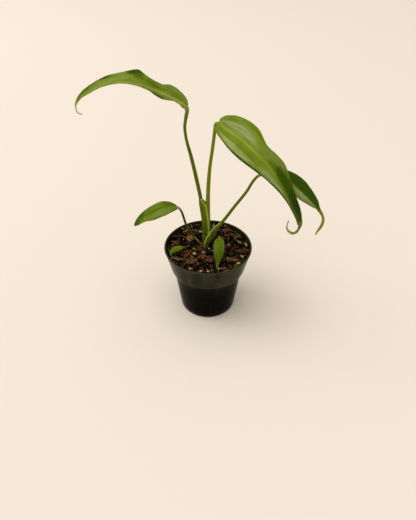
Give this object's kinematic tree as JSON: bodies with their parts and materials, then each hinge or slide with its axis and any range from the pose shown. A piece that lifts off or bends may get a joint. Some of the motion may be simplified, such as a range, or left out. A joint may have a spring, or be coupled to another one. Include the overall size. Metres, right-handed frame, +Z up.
{
  "type": "potted flame monstera",
  "caption": "Young climbing aroid with long curling leaves, growing from bark mix in a round tapered nursery pot.",
  "frame": {"origin": "centre of the pot's flat underside, on the surface it stands on", "axes": "+Z up along the pot's axis; the view of the picture looks along +Y and down, with +X to its right"},
  "size_m": [0.2193, 0.09, 0.2444],
  "materials": {
    "pot_plastic": "glossy, very dark green-black",
    "potting_mix": "rough, damp bark mix",
    "stem_green": "dull",
    "petiole_green": "smooth, satin",
    "leaf_green": "leathery, satin sheen",
    "seedling_green": "leathery, satin sheen"
  },
  "bodies": {
    "root": {"pot": "pot_plastic", "potting_mix": "potting_mix", "stem": "stem_green", "petiole_1": "petiole_green", "petiole_2": "petiole_green", "petiole_3": "petiole_green", "petiole_4": "petiole_green", "blade_1": "leaf_green", "blade_2": "leaf_green", "blade_3": "leaf_green", "blade_4": "leaf_green", "seedling_leaf_left": "seedling_green", "seedling_leaf_front": "seedling_green"}
  },
  "joints": []
}
